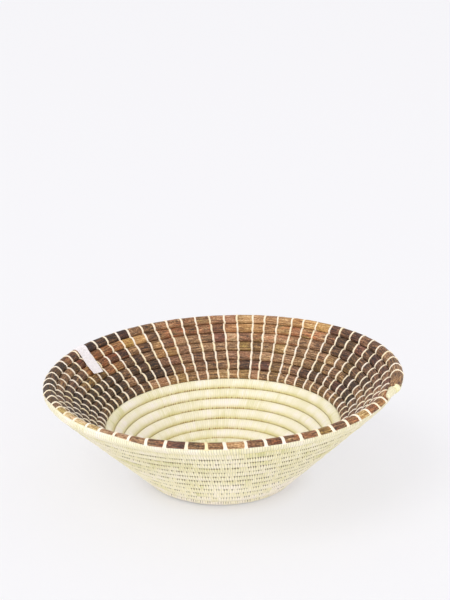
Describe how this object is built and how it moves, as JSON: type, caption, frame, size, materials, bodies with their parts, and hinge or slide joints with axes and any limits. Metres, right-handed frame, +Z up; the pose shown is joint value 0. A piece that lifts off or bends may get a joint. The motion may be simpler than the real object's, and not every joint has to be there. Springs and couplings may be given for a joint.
{
  "type": "coiled grass basket",
  "caption": "Round flared bowl basket of coiled grass, cream outside and on the floor, with bark-faced rows inside under the rim and a blank cloth tag.",
  "frame": {"origin": "on the ground under the middle of the floor", "axes": "+Z up out of the bowl, -Y towards the picture's viewer, +X to the viewer's right, where the rim is highest and the coil ends"},
  "size_m": [0.3939, 0.3896, 0.1357],
  "materials": {
    "palm": "matt, grass bundle wrapped closely in split palm leaf",
    "binder": "satin palm leaf strips",
    "bark": "fibrous brown bark, matt to satin",
    "tag": "woven tape, blank"
  },
  "bodies": {
    "root": {"coil_start": "palm", "floor_coil": "palm", "lower_wall_coil": "palm", "upper_wall_coil": "palm", "coil_end_binding": "binder", "bark_strip_row_1": "bark", "bark_strip_row_2": "bark", "bark_strip_row_3": "bark", "bark_strip_row_4": "bark", "bark_strip_row_5": "bark", "bark_strip_row_6": "bark", "bark_strip_row_7": "bark", "label_tag": "tag"}
  },
  "joints": []
}
